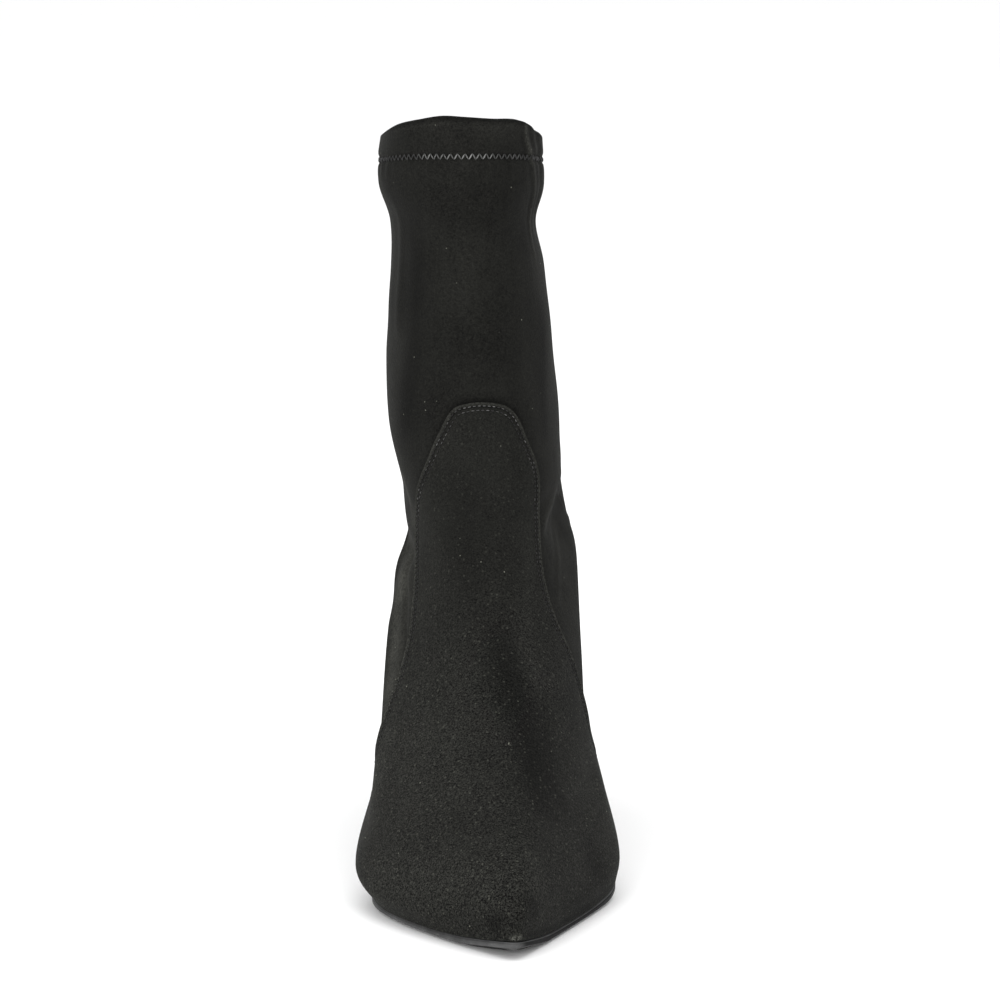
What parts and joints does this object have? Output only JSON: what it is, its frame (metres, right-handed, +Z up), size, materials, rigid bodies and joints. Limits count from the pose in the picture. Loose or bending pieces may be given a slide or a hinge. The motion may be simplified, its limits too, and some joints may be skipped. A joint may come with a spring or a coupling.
{
  "type": "stretch ankle boot",
  "caption": "Pointed stretch sock ankle boot with a laid-on suede vamp, folded hem at the collar, thin sole and slim covered block heel; right foot.",
  "frame": {"origin": "centre of the boot's box, on the floor", "axes": "-Y towards the toe, +X towards the inner (medial) side, +Z up"},
  "size_m": [0.0832, 0.2396, 0.2415],
  "materials": {
    "stretch_suede": "fine matt black faux suede that stretches",
    "vamp_suede": "coarser black suede nap with a faint sparkle",
    "sole_edge": "smooth black with a polished edge",
    "insole_sock": "smooth dark sock lining",
    "heel_cover": "matt black faux suede over a hard block",
    "tip_rubber": "matt black"
  },
  "bodies": {
    "root": {"upper": "stretch_suede", "vamp": "vamp_suede", "outsole": "sole_edge", "insole": "insole_sock", "heel": "heel_cover", "heel_tip": "tip_rubber"}
  },
  "joints": []
}
